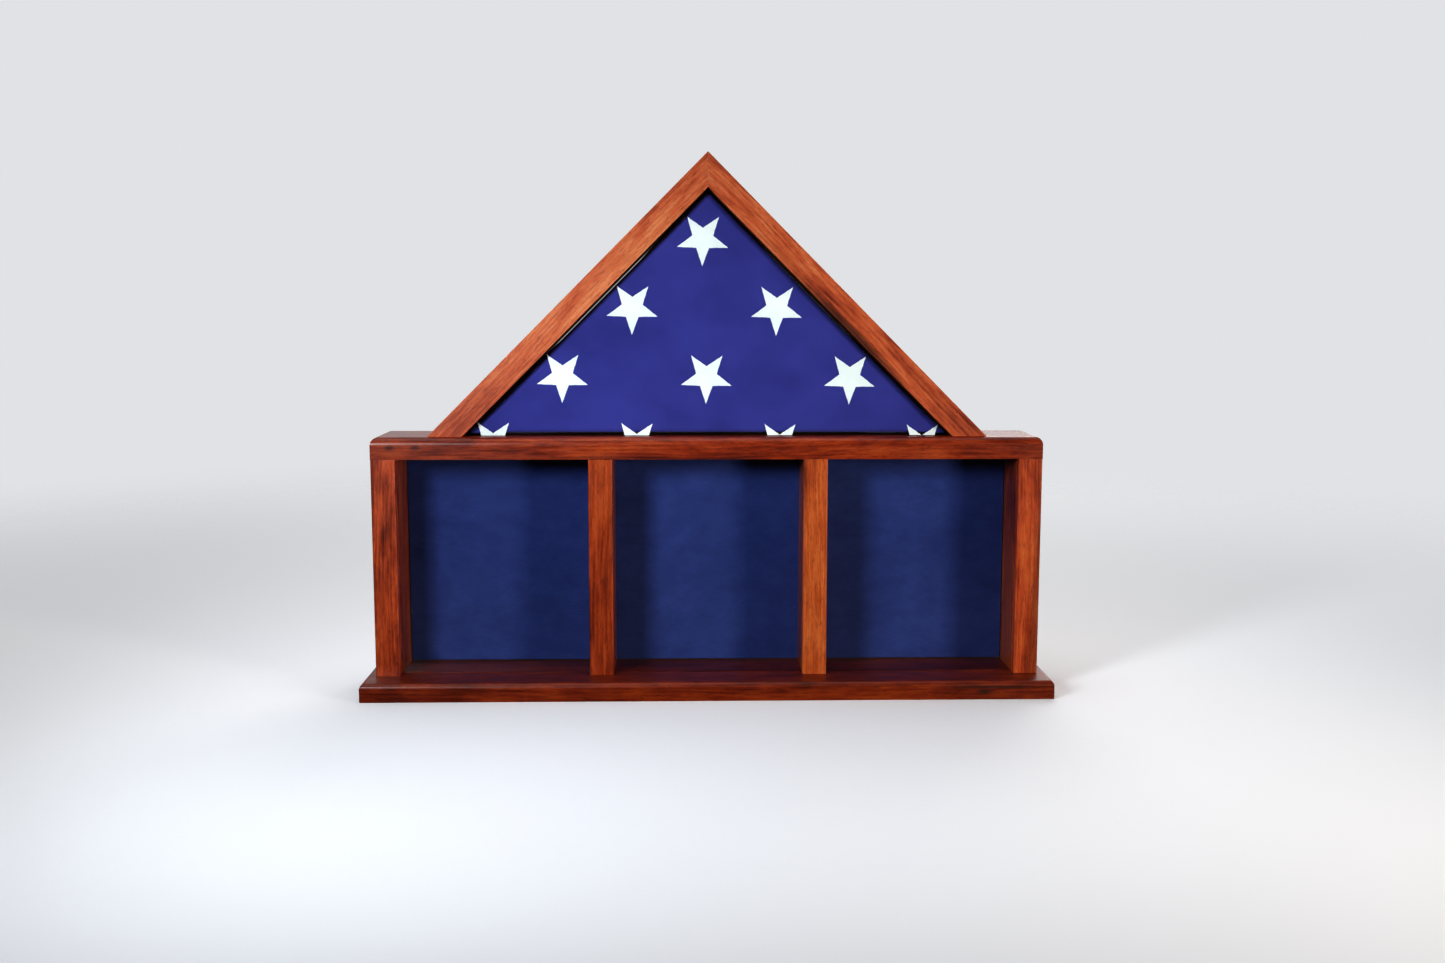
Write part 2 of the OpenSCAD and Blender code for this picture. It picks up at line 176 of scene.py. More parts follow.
# ---- Base board ---------------------------------------------------------------------------
# One wide hardwood board with a radius routed along its front and ends and a groove for each
# pane, screwed up into the posts from below. A small dark knot shows near the right end of its
# front, under a dark streak.
def new_object(name, mesh):
    obj = bpy.data.objects.new(name, mesh)
    scene.collection.objects.link(obj)
    return obj


def settle(obj):
    """Turns an object's modifiers into plain mesh."""
    mesh = bpy.data.meshes.new_from_object(obj.evaluated_get(bpy.context.evaluated_depsgraph_get()))
    obj.modifiers.clear()
    obj.data = mesh


def eased(node, ease, steps=3):
    """A machined part with its sharp edges broken by a small radius, as sandpaper leaves them."""
    hair, level, sharp = 0.03 * mm, math.radians(0.8), math.radians(35)
    bm = bmesh.new()
    bm.from_mesh(nodes[node].data)
    bmesh.ops.remove_doubles(bm, verts=bm.verts, dist=hair)
    bmesh.ops.dissolve_limit(bm, angle_limit=level, verts=bm.verts, edges=bm.edges)
    mesh = bpy.data.meshes.new(node)
    bm.to_mesh(mesh)
    bm.free()
    mesh.materials.clear()
    mesh.shade_smooth()
    obj = new_object(node, mesh)
    bevel = obj.modifiers.new("ease", "BEVEL")
    bevel.width = ease
    bevel.segments = steps
    bevel.limit_method = "ANGLE"
    bevel.angle_limit = sharp
    flats = obj.modifiers.new("flats", "WEIGHTED_NORMAL")
    flats.weight = 100
    flats.mode = "FACE_AREA"
    settle(obj)
    return obj


def add(tree, kind, inputs=None, **settings):
    """Adds a shader node. inputs holds values or other nodes' sockets, by socket name or number."""
    node = tree.nodes.new("ShaderNode" + kind)
    for key, value in settings.items():
        setattr(node, key, value)
    for key, value in (inputs or {}).items():
        if isinstance(value, bpy.types.NodeSocket):
            tree.links.new(value, node.inputs[key])
        else:
            node.inputs[key].default_value = value
    return node


def blank_material(name):
    mat = bpy.data.materials.new(name)
    mat.use_nodes = True
    mat.node_tree.nodes.clear()
    return mat, mat.node_tree


def finish_with(tree, shader):
    out = add(tree, "OutputMaterial")
    tree.links.new(shader, out.inputs["Surface"])


def math_node(tree, operation, a, b=0.0):
    return add(tree, "Math", {0: a, 1: b}, operation=operation).outputs[0]


def weighted(tree, *parts):
    """The sum of (value, weight) pairs."""
    total, *others = [math_node(tree, "MULTIPLY", value, weight) for value, weight in parts]
    for part in others:
        total = math_node(tree, "ADD", total, part)
    return total


def over(tree, colour, share, paint):
    """A colour with some paint laid over it. share says how much of it the paint hides."""
    node = add(tree, "Mix", {"Factor": share, 6: colour, 7: (*paint, 1)}, data_type="RGBA")
    return node.outputs[2]


def ramp(tree, value, stops):
    """A colour ramp whose stops are (place, colour) pairs."""
    node = add(tree, "ValToRGB", {0: value})
    band = node.color_ramp.elements
    while len(band) < len(stops):
        band.new(0.5)
    for element, (place, colour) in zip(band, stops):
        element.position = place
        element.color = (*colour, 1)
    return node.outputs["Color"]


def stretched(tree, vector, scale, detail=3.0, roughness=0.55, offset=(0, 0, 0)):
    """Noise whose grains are long along X when the first scale is small."""
    mapped = add(tree, "Mapping", {"Vector": vector, "Scale": scale, "Location": offset})
    noise = add(tree, "TexNoise", {"Vector": mapped.outputs[0], "Scale": 1.0, "Detail": detail,
                                   "Roughness": roughness})
    return noise.outputs[0]


def hardwood(name, turn, heart, tones, ring=3.6 * mm, vein=0.45, gloss=0.34, knots=()):
    """Oiled red-brown hardwood. turn lays the grain along X, and heart is the place of the log's
    centre line from there, so that flat-sawn faces show arches and ends show rings. A knot's
    slimness is its width over its length, so a small value draws it out into a dark streak."""
    drift, coat, pore_depth = 26 * mm, 0.22, 0.05 * mm
    mat, tree = blank_material(name)
    spot = add(tree, "TexCoord").outputs["Object"]
    grain = add(tree, "Mapping", {"Vector": spot, "Rotation": turn, "Location": heart}).outputs[0]
    sway = stretched(tree, grain, (2.6, 11, 11), 2.0, 0.5)
    sway_colour = sway.node.outputs["Color"]
    centred = add(tree, "VectorMath", {0: sway_colour, 1: (0.5, 0.5, 0.5)}, operation="SUBTRACT")
    pushed = add(tree, "VectorMath", {0: centred.outputs[0], 1: (0, drift, drift)},
                 operation="MULTIPLY")
    bent = add(tree, "VectorMath", {0: grain, 1: pushed.outputs[0]}, operation="ADD").outputs[0]
    flat = add(tree, "Mapping", {"Vector": bent, "Scale": (0.05, 1, 1)}).outputs[0]
    rings = add(tree, "TexWave", {"Vector": flat, "Scale": math.tau / 20 / ring, "Distortion": 3.2,
                                  "Detail": 2.0, "Detail Scale": 0.6, "Detail Roughness": 0.6},
                wave_type="RINGS", rings_direction="X", wave_profile="SAW").outputs["Fac"]
    fibre = stretched(tree, bent, (24, 560, 560), 4.0, 0.62)
    cloud = stretched(tree, bent, (5.5, 30, 30), 3.0, 0.5, (3.1, 0.7, 1.9))
    figure = stretched(tree, bent, (34, 115, 115), 3.0, 0.6, (1.3, 5.2, 2.4))
    vein_noise = stretched(tree, bent, (2.2, 95, 95), 3.0, 0.5, (7.3, 2.1, 4.4))
    pore_noise = stretched(tree, bent, (150, 2300, 2300), 1.0, 0.4)

    tone = weighted(tree, (fibre, 0.75), (rings, 0.12), (cloud, 1.1), (figure, 0.75))
    tone = math_node(tree, "SUBTRACT", tone, 0.79)
    colour = ramp(tree, tone, tones)
    veins = add(tree, "MapRange", {"Value": vein_noise, "From Min": 0.56, "From Max": 0.72,
                                   "To Min": 0.0, "To Max": vein}).outputs[0]
    dark = tones[0][1]
    colour = over(tree, colour, veins, [c * 0.45 for c in dark])
    pores = add(tree, "MapRange", {"Value": pore_noise, "From Min": 0.60, "From Max": 0.68,
                                   "To Min": 0.0, "To Max": 0.5}).outputs[0]
    colour = over(tree, colour, pores, [c * 0.3 for c in dark])
    for place, radius, slimness in knots:
        away = add(tree, "VectorMath", {0: spot, 1: place}, operation="SUBTRACT").outputs[0]
        away = add(tree, "Mapping", {"Vector": away, "Rotation": turn}).outputs[0]
        away = add(tree, "VectorMath", {0: away, 1: (slimness, 1, 1)},
                   operation="MULTIPLY").outputs[0]
        away = add(tree, "VectorMath", {0: away}, operation="LENGTH").outputs["Value"]
        wobble = math_node(tree, "MULTIPLY", fibre, radius * 0.9)
        away = math_node(tree, "ADD", away, wobble)
        knot = add(tree, "MapRange", {"Value": away, "From Min": radius * 0.7,
                                      "From Max": radius * 2.4, "To Min": 0.8, "To Max": 0.0},
                   interpolation_type="SMOOTHSTEP").outputs[0]
        colour = over(tree, colour, knot, (0.035, 0.012, 0.008))
    rough = add(tree, "MapRange", {"Value": fibre, "From Min": 0.3, "From Max": 0.7,
                                   "To Min": gloss - 0.05, "To Max": gloss + 0.09}).outputs[0]
    height = math_node(tree, "MULTIPLY_ADD", pores, -0.8)
    tree.links.new(fibre, height.node.inputs[2])
    bump = add(tree, "Bump", {"Height": height, "Distance": pore_depth, "Strength": 0.55})
    shader = add(tree, "BsdfPrincipled", {"Base Color": colour, "Roughness": rough,
                                          "Normal": bump.outputs[0], "Coat Weight": coat,
                                          "Coat Roughness": 0.14, "IOR": 1.45})
    finish_with(tree, shader.outputs[0])
    return mat


def dress(obj, material, body, slot_name, *replaced):
    """Gives a piece its finish and says what it rides on and stands for."""
    obj.data.materials.clear()
    obj.data.materials.append(material)
    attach(obj, body)
    if replaced:
        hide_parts(*replaced)
    return obj


base_tones = [(0.10, (0.031, 0.003, 0.0005)), (0.38, (0.090, 0.009, 0.0009)),
              (0.62, (0.185, 0.021, 0.0016)), (0.95, (0.300, 0.052, 0.0040))]
along_x = (0, 0, 0)
sanded = 0.6 * mm

base = eased("base_board", sanded)
base_low, base_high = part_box("base_board")
knot_in, knot_up, knot_radius, knot_slimness = 66 * mm, 7.5 * mm, 2.1 * mm, 0.36
dark_in, dark_up, dark_radius, dark_slimness = 60 * mm, 12.0 * mm, 1.25 * mm, 0.04
base_knots = [((base_high.x - knot_in, base_low.y, knot_up), knot_radius, knot_slimness),
              ((base_high.x - dark_in, base_low.y, dark_up), dark_radius, dark_slimness)]
base_wood = hardwood("base_wood", along_x, (0.3, 0.02, 0.055), base_tones, gloss=0.42,
                     knots=base_knots)
dress(base, base_wood, "case", "case_wood", "base_board")


# ---- Side boards and dividers -------------------------------------------------------------
# Four upright boards of the same stock, glued and dowelled under the top board. The two outer
# ones run the full depth; the dividers stop at the felt. Their grain stands upright.
upright_x = (0, math.radians(90), 0)
post_tones = [(0.10, (0.089, 0.013, 0.0056)), (0.38, (0.258, 0.041, 0.0119)),
              (0.62, (0.446, 0.082, 0.0215)), (0.95, (0.577, 0.167, 0.0452))]
dark_tones = [(0.10, (0.083, 0.011, 0.0034)), (0.38, (0.210, 0.031, 0.0069)),
              (0.62, (0.330, 0.058, 0.0124)), (0.95, (0.451, 0.104, 0.0248))]
light_tones = [(0.10, (0.102, 0.018, 0.0066)), (0.38, (0.257, 0.051, 0.0131)),
               (0.62, (0.404, 0.094, 0.0235)), (0.95, (0.550, 0.171, 0.0469))]
for number, (node, tones, slot_name) in enumerate([
        ("left_side", post_tones, "post_wood"), ("right_side", post_tones, "post_wood"),
        ("left_divider", dark_tones, "divider_wood"),
        ("right_divider", light_tones, "divider_wood")]):
    piece = eased(node, sanded)
    wood = hardwood(node + "_wood", upright_x, (0.2 * number, 0.05 + 0.013 * number, 0.03), tones)
    dress(piece, wood, "case", slot_name, node)


# ---- Top board ----------------------------------------------------------------------------
# The lid of the shadow box and the floor of the flag case, with a generous radius along its
# front and ends. Two small dark knots show near its left end.
top_low, top_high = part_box("top_board")
knot_height = top_low.z * 0.45 + top_high.z * 0.55
knot_slimness = 0.62
top_knots = [((top_low.x + knot_in, top_low.y, knot_height), radius, knot_slimness)
             for knot_in, radius in ((18.5 * mm, 2.1 * mm), (42.5 * mm, 2.2 * mm))]
top_tones = [(0.10, (0.044, 0.006, 0.0021)), (0.38, (0.122, 0.014, 0.0037)),
             (0.62, (0.242, 0.033, 0.0063)), (0.95, (0.372, 0.074, 0.0138))]
top_board = eased("top_board", sanded)
top_wood = hardwood("top_wood", along_x, (0.9, 0.03, -0.27), top_tones, knots=top_knots)
dress(top_board, top_wood, "case", "case_wood", "top_board")


# ---- Lower panes --------------------------------------------------------------------------
# Three panes of thin float glass, let into grooves in the posts and boards round them. They keep
# the plain cut edges that the grooves hide.
def float_glass(name):
    """Clear glass, thin enough not to bend what is behind it, that mirrors more at a slant."""
    head_on = 0.04
    mat, tree = blank_material(name)
    clear = add(tree, "BsdfTransparent", {"Color": (0.975, 0.985, 0.98, 1)})
    mirror = add(tree, "BsdfAnisotropic", {"Color": (1.0, 1.0, 1.0, 1), "Roughness": 0.0})
    slant = add(tree, "LayerWeight", {"Blend": 0.5}).outputs["Facing"]
    steep = math_node(tree, "POWER", slant, 5.0)
    share = math_node(tree, "MULTIPLY_ADD", steep, 1 - head_on)
    share.node.inputs[2].default_value = head_on
    both = add(tree, "MixShader", {0: share, 1: clear.outputs[0], 2: mirror.outputs[0]})
    finish_with(tree, both.outputs[0])
    return mat


glass = float_glass("float_glass")


def glaze(node):
    nodes[node].data.materials.clear()
    nodes[node].data.materials.append(glass)


for node in ("left_glass", "centre_glass", "right_glass"):
    glaze(node)


# ---- Rear door and pin board --------------------------------------------------------------
# A plywood door that fills the back of the box. A thin board is glued to its inside, and dark
# blue felt covers that board, so the felt is the back wall that shows through the panes.
def plywood(name, ply, face_y):
    """Birch plywood: veneer on its faces, and its plies as stripes on its edges."""
    mat, tree = blank_material(name)
    spot = add(tree, "TexCoord").outputs["Object"]
    sway = stretched(tree, spot, (2.0, 9, 9), 2.0)
    arch = add(tree, "Mapping", {"Vector": spot, "Scale": (0.14, 0.0, 1.0)}).outputs[0]
    figure = add(tree, "TexWave", {"Vector": arch, "Scale": 5.0, "Distortion": 9.0, "Detail": 3.0,
                                   "Detail Scale": 1.2}, bands_direction="Z").outputs["Fac"]
    fibre = stretched(tree, spot, (14, 100, 520), 4.0, 0.6)
    tone = weighted(tree, (figure, 0.09), (fibre, 0.75), (sway, 0.45))
    colour = ramp(tree, tone, [(0.35, (0.30, 0.145, 0.062)), (0.55, (0.44, 0.24, 0.115)),
                               (0.8, (0.58, 0.36, 0.19))])
    depth = add(tree, "SeparateXYZ", {0: spot}).outputs["Y"]
    layer = math_node(tree, "DIVIDE", math_node(tree, "SUBTRACT", depth, face_y), 2 * ply)
    stripe = math_node(tree, "GREATER_THAN", math_node(tree, "FRACT", layer), 0.5)
    side = add(tree, "NewGeometry").outputs["Normal"]
    turned = math_node(tree, "ABSOLUTE", add(tree, "SeparateXYZ", {0: side}).outputs["Y"])
    edge = math_node(tree, "MULTIPLY", math_node(tree, "LESS_THAN", turned, 0.5), stripe)
    colour = over(tree, colour, math_node(tree, "MULTIPLY", edge, 0.6), (0.16, 0.075, 0.035))
    bump = add(tree, "Bump", {"Height": fibre, "Distance": 0.05 * mm, "Strength": 0.4})
    rough = add(tree, "MapRange", {"Value": fibre, "To Min": 0.42, "To Max": 0.6}).outputs[0]
    shader = add(tree, "BsdfPrincipled", {"Base Color": colour, "Roughness": rough,
                                          "Normal": bump.outputs[0]})
    finish_with(tree, shader.outputs[0])
    return mat


def hardboard(name):
    """Brown pressed fibre, a little cloudy."""
    mat, tree = blank_material(name)
    spot = add(tree, "TexCoord").outputs["Object"]
    fibre = stretched(tree, spot, (900, 900, 900), 3.0)
    cloud = stretched(tree, spot, (40, 40, 40), 2.0)
    tone = weighted(tree, (fibre, 0.7), (cloud, 0.3))
    colour = ramp(tree, tone, [(0.3, (0.11, 0.062, 0.034)), (0.7, (0.24, 0.15, 0.085))])
    bump = add(tree, "Bump", {"Height": fibre, "Distance": 0.1 * mm, "Strength": 0.5})
    shader = add(tree, "BsdfPrincipled", {"Base Color": colour, "Roughness": 0.8,
                                          "Normal": bump.outputs[0]})
    finish_with(tree, shader.outputs[0])
    return mat


def felt(name):
    """Dark blue felt with a short nap that lies in slightly different directions."""
    mat, tree = blank_material(name)
    spot = add(tree, "TexCoord").outputs["Object"]
    fuzz = stretched(tree, spot, (130, 900, 1300), 3.0, 0.6)
    nap = stretched(tree, spot, (42, 55, 60), 3.0, 0.6)
    brushed = stretched(tree, spot, (9, 9, 14), 2.0, 0.5)
    tone = weighted(tree, (fuzz, 0.30), (nap, 0.35), (brushed, 0.35))
    colour = ramp(tree, tone, [(0.30, (0.031, 0.047, 0.165)), (0.50, (0.044, 0.066, 0.225)),
                               (0.72, (0.062, 0.090, 0.290))])
    bump = add(tree, "Bump", {"Height": fuzz, "Distance": 0.02 * mm, "Strength": 0.3})
    shader = add(tree, "BsdfPrincipled", {"Base Color": colour, "Roughness": 0.95,
                                          "Normal": bump.outputs[0], "Sheen Weight": 0.03,
                                          "Sheen Roughness": 0.5,
                                          "Sheen Tint": (0.25, 0.32, 0.75, 1),
                                          "Specular IOR Level": 0.1})
    finish_with(tree, shader.outputs[0])
    return mat


door_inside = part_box("rear_door")[0].y
door = eased("rear_door", 0.3 * mm, 2)
dress(door, plywood("door_plywood", 1.3 * mm, door_inside), "door", "plywood", "rear_door")
pin_board = eased("pin_board", 0.2 * mm, 2)
dress(pin_board, hardboard("pin_board_stock"), "door", "hardboard", "pin_board")
felt_cover = eased("felt_cover", 0.35 * mm)
dress(felt_cover, felt("navy_felt"), "door", "felt", "felt_cover")


# ---- Hinges -------------------------------------------------------------------------------
# Two brass butt hinges. Each has one leaf on the top board's back edge and one on the door,
# with five knuckles in turn round a loose pin that has a small head at each end.
def metal(name, colour, rough, scratch=0.10):
    """Polished or plated metal with fine handling scratches and a little tarnish."""
    mat, tree = blank_material(name)
    spot = add(tree, "TexCoord").outputs["Object"]
    brushed = stretched(tree, spot, (70, 2600, 2600), 3.0, 0.6)
    tarnish = stretched(tree, spot, (160, 160, 160), 3.0, 0.6)
    tone = ramp(tree, tarnish, [(0.35, tuple(c * 0.78 for c in colour)), (0.6, colour)])
    shine = weighted(tree, (brushed, scratch), (tarnish, scratch))
    shine = math_node(tree, "ADD", shine, rough - scratch)
    bump = add(tree, "Bump", {"Height": brushed, "Distance": 0.01 * mm, "Strength": 0.4})
    shader = add(tree, "BsdfPrincipled", {"Base Color": tone, "Metallic": 1.0,
                                          "Roughness": shine, "Normal": bump.outputs[0]})
    finish_with(tree, shader.outputs[0])
    return mat


brass = metal("brass", (0.80, 0.56, 0.23), 0.30)
for side in ("left", "right"):
    for part, body in (("case_leaf", "case"), ("door_leaf", "door")):
        node = f"{side}_{part}"
        dress(eased(node, 0.18 * mm, 2), brass, body, "brass", node)
dress(eased("hinge_pins", 0.25 * mm, 2), brass, "case", "brass", "hinge_pins")


# ---- Screws -------------------------------------------------------------------------------
# Slotted countersunk wood screws: brass ones in the hinges, and plated steel ones that hold the
# posts, the rails and the knobs. Each turns its slot to wherever the driver left it.
def solids_of(node):
    """The lowest and highest corner of each separate solid in a CAD node."""
    bm = bmesh.new()
    bm.from_mesh(nodes[node].data)
    bmesh.ops.remove_doubles(bm, verts=bm.verts, dist=0.002 * mm)
    left, found = set(bm.verts), []
    while left:
        group, edge = set(), [left.pop()]
        while edge:
            vert = edge.pop()
            group.add(vert)
            near = {e.other_vert(vert) for e in vert.link_edges} & left
            left -= near
            edge.extend(near)
        spots = [v.co for v in group]
        found.append((Vector([min(p[i] for p in spots) for i in range(3)]),
                      Vector([max(p[i] for p in spots) for i in range(3)])))
    bm.free()
    return sorted(found, key=lambda box: tuple(round(c, 5) for c in box[0]))


def screw_mesh(name, shank, length):
    """One screw that points along +Z, with the top of its head at the origin. Its rows of points
    go from the head to the tip, and those without a radius follow the thread."""
    head_radius, around, per_turn = shank, 20, 8
    pitch, root, thread_height = shank * 0.42, shank * 0.36, shank * 0.13
    thread_from, tip = length * 0.36, length - shank * 0.9
    rows = [(head_radius * 0.96, 0.0), (head_radius, 0.03 * mm + shank * 0.02),
            (shank / 2, shank / 2), (shank / 2 * 0.96, thread_from)]
    step = pitch / per_turn
    count = int((length - thread_from) / step)
    rows += [(None, thread_from + step * (i + 1)) for i in range(count - 1)]
    bm = bmesh.new()
    rings = []
    for radius, z in rows:
        ring = []
        for k in range(around):
            angle = math.tau * k / around
            r = radius
            if r is None:
                core = root * min(1.0, max(0.12, (length - z) / (length - tip)))
                wave = 0.5 + 0.5 * math.cos(math.tau * (z / pitch) - angle)
                r = core + thread_height * min(1.0, (length - z) / (length - tip)) * wave ** 2
            ring.append(bm.verts.new((r * math.cos(angle), r * math.sin(angle), z)))
        rings.append(ring)
    for a, b in zip(rings, rings[1:]):
        for k in range(around):
            bm.faces.new((a[k - 1], b[k - 1], b[k], a[k]))
    bm.faces.new(rings[0])
    point = bm.verts.new((0, 0, length))
    for k in range(around):
        bm.faces.new((rings[-1][k - 1], point, rings[-1][k]))
    bmesh.ops.recalc_face_normals(bm, faces=bm.faces)
    mesh = bpy.data.meshes.new(name)
    bm.to_mesh(mesh)
    bm.free()
    body = new_object(name, mesh)
    cutter_mesh = bpy.data.meshes.new("slot")
    bm = bmesh.new()
    slot_size = (shank * 3, shank * 0.24, shank * 0.46, 1)
    bmesh.ops.create_cube(bm, size=1.0, matrix=Matrix.Diagonal(slot_size))
    bm.to_mesh(cutter_mesh)
    bm.free()
    cutter = new_object("slot", cutter_mesh)
    cut = body.modifiers.new("slot", "BOOLEAN")
    cut.object = cutter
    cut.operation = "DIFFERENCE"
    cut.solver = "EXACT"
    settle(body)
    bpy.data.objects.remove(cutter)
    body.data.shade_smooth()
    body.data.set_sharp_from_angle(angle=math.radians(38))
    return body


def socket_id(tree, name):
    return next(i.identifier for i in tree.interface.items_tree if i.name == name)


def instancer():
    """A node tree that sets one object at each point, turned to the points' own directions."""
    tree = bpy.data.node_groups.new("set_at_points", "GeometryNodeTree")
    face = tree.interface
    face.new_socket("Points", in_out="INPUT", socket_type="NodeSocketGeometry")
    face.new_socket("Part", in_out="INPUT", socket_type="NodeSocketObject")
    face.new_socket("Tilt", in_out="INPUT", socket_type="NodeSocketVector")
    face.new_socket("Seed", in_out="INPUT", socket_type="NodeSocketInt")
    face.new_socket("Finish", in_out="INPUT", socket_type="NodeSocketMaterial")
    face.new_socket("Geometry", in_out="OUTPUT", socket_type="NodeSocketGeometry")
    make = tree.nodes.new
    given, result = make("NodeGroupInput"), make("NodeGroupOutput")
    info = make("GeometryNodeObjectInfo")
    info.transform_space = "ORIGINAL"
    spin = make("FunctionNodeRandomValue")
    spin.data_type = "FLOAT"
    spin.inputs[2].default_value = 0.0
    spin.inputs[3].default_value = math.pi
    combine = make("ShaderNodeCombineXYZ")
    place = make("GeometryNodeInstanceOnPoints")
    turn_in = make("GeometryNodeRotateInstances")
    real = make("GeometryNodeRealizeInstances")
    paint = make("GeometryNodeSetMaterial")
    link = tree.links.new
    link(given.outputs["Part"], info.inputs["Object"])
    link(given.outputs["Seed"], spin.inputs["Seed"])
    link(spin.outputs[1], combine.inputs["Z"])
    link(given.outputs["Points"], place.inputs["Points"])
    link(info.outputs["Geometry"], place.inputs["Instance"])
    link(given.outputs["Tilt"], place.inputs["Rotation"])
    link(place.outputs[0], turn_in.inputs["Instances"])
    link(combine.outputs[0], turn_in.inputs["Rotation"])
    link(turn_in.outputs[0], real.inputs[0])
    link(real.outputs[0], paint.inputs["Geometry"])
    link(given.outputs["Finish"], paint.inputs["Material"])
    link(paint.outputs[0], result.inputs[0])
    return tree


set_at_points = instancer()


def points_object(name, places):
    mesh = bpy.data.meshes.new(name)
    mesh.from_pydata([tuple(p) for p in places], [], [])
    return new_object(name, mesh)


def place_parts(name, places, part, tilt, seed, finish):
    """One mesh of the same part at every place."""
    obj = points_object(name, places)
    nodes_mod = obj.modifiers.new("places", "NODES")
    nodes_mod.node_group = set_at_points
    for key, value in (("Part", part), ("Tilt", tilt), ("Seed", seed), ("Finish", finish)):
        nodes_mod[socket_id(set_at_points, key)] = value
    settle(obj)
    return obj


steel = metal("zinc_steel", (0.58, 0.58, 0.56), 0.38, 0.14)
forward, backward, upward = (math.radians(90), 0, 0), (-math.radians(90), 0, 0), (0, 0, 0)
for seed, (node, body, slot_name, finish, tilt) in enumerate([
        ("case_leaf_screws", "case", "brass", brass, forward),
        ("door_leaf_screws", "door", "brass", brass, forward),
        ("base_screws", "case", "steel", steel, upward),
        ("rail_screws", "case", "steel", steel, upward),
        ("door_knob_screw", "door", "steel", steel, backward),
        ("flag_knob_screw", "flag_back", "steel", steel, backward)]):
    boxes = solids_of(node)
    low, high = boxes[0]
    wide = high.x - low.x
    if tilt == upward:
        long = high.z - low.z
        places = [Vector(((a.x + b.x) / 2, (a.y + b.y) / 2, a.z)) for a, b in boxes]
    else:
        long = high.y - low.y
        places = [Vector(((a.x + b.x) / 2, b.y if tilt == forward else a.y, (a.z + b.z) / 2))
                  for a, b in boxes]
    part = screw_mesh(node + "_part", wide / 2, long)
    screws = place_parts(node, places, part, tilt, seed, finish)
    bpy.data.objects.remove(part)
    dress(screws, finish, body, slot_name, node)


# ---- Knobs --------------------------------------------------------------------------------
# Two turned brass knobs, one near the door's bottom edge and one on the panel behind the flag.
# Each stands on a small foot and is held by a screw from the other side.
def turned_knob(node, body):
    """A knob whose outline is in shares of its radius and of how far it stands out."""
    low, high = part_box(node)
    radius, out = (high.x - low.x) / 2, high.y - low.y
    outline = [(0.0, 0.0), (0.74, 0.0), (0.78, 0.02), (0.78, 0.07), (0.72, 0.10), (0.60, 0.12),
               (0.42, 0.17), (0.36, 0.26), (0.37, 0.36), (0.46, 0.45), (0.66, 0.52), (0.86, 0.58),
               (0.97, 0.66), (1.0, 0.75), (0.97, 0.84), (0.88, 0.91), (0.72, 0.96), (0.50, 0.985),
               (0.25, 0.998), (0.0, 1.0)]
    middle_x, middle_z = (low.x + high.x) / 2, (low.z + high.z) / 2
    bm = bmesh.new()
    line = [bm.verts.new((middle_x + r * radius, low.y + h * out, middle_z)) for r, h in outline]
    edges = [bm.edges.new(pair) for pair in zip(line, line[1:])]
    bmesh.ops.spin(bm, geom=line + edges, cent=(middle_x, 0, middle_z), axis=(0, 1, 0),
                   angle=math.tau, steps=48, use_merge=True)
    bmesh.ops.remove_doubles(bm, verts=bm.verts, dist=0.01 * mm)
    bmesh.ops.recalc_face_normals(bm, faces=bm.faces)
    mesh = bpy.data.meshes.new(node)
    bm.to_mesh(mesh)
    bm.free()
    mesh.shade_smooth()
    obj = new_object(node, mesh)
    round_off = obj.modifiers.new("round", "SUBSURF")
    round_off.levels = 1
    round_off.render_levels = 1
    settle(obj)
    return dress(obj, brass, body, "brass", node)


turned_knob("door_knob", "door")
turned_knob("flag_panel_knob", "flag_back")


# ---- Magnets, steel discs and dowels ------------------------------------------------------
# Plated disc magnets are let into the dividers and the corner blocks, and hold steel discs let
# into the pin board and the flag panel. Beech dowels hold the posts and the mitred peak.
nickel = metal("nickel_plate", (0.72, 0.71, 0.68), 0.22, 0.08)


def beech(name):
    """Pale dowel stock whose grain runs up the dowel."""
    mat, tree = blank_material(name)
    spot = add(tree, "TexCoord").outputs["Object"]
    fibre = stretched(tree, spot, (600, 600, 40), 3.0)
    colour = ramp(tree, fibre, [(0.35, (0.50, 0.33, 0.18)), (0.7, (0.70, 0.52, 0.32))])
    bump = add(tree, "Bump", {"Height": fibre, "Distance": 0.06 * mm, "Strength": 0.5})
    shader = add(tree, "BsdfPrincipled", {"Base Color": colour, "Roughness": 0.62,
                                          "Normal": bump.outputs[0]})
    finish_with(tree, shader.outputs[0])
    return mat


dowel_beech = beech("dowel_beech")
for node, body, slot_name, finish in [
        ("door_magnets", "case", "nickel", nickel), ("door_strikes", "door", "steel", steel),
        ("flag_magnets", "case", "nickel", nickel), ("flag_strikes", "flag_back", "steel", steel),
        ("post_dowels", "case", "dowel_wood", dowel_beech),
        ("peak_dowels", "case", "dowel_wood", dowel_beech)]:
    dress(eased(node, 0.3 * mm, 2), finish, body, slot_name, node)


# ---- Flag case rails ----------------------------------------------------------------------
# Two sloping rails, mitred and dowelled at the peak. Their feet are cut level, and screws come
# up into them through the top board. Small blocks in the corners stop the panel behind the flag.
rail_tones = [(0.10, (0.111, 0.020, 0.0099)), (0.38, (0.304, 0.060, 0.0242)),
              (0.62, (0.474, 0.117, 0.0433)), (0.95, (0.588, 0.224, 0.0960))]
slope = math.radians(45)
left_rail = eased("left_rail", sanded)
dress(left_rail, hardwood("left_rail_wood", (0, slope, 0), (0.4, 0.045, -0.10), rail_tones),
      "case", "rail_wood", "left_rail")
right_rail = eased("right_rail", sanded)
rail_low, rail_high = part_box("right_rail")
streak_x, streak_under, streak_radius, streak_slimness = 136 * mm, 29.5 * mm, 3.0 * mm, 0.06
streak = Vector((streak_x, rail_low.y, rail_high.z - streak_x - streak_under))
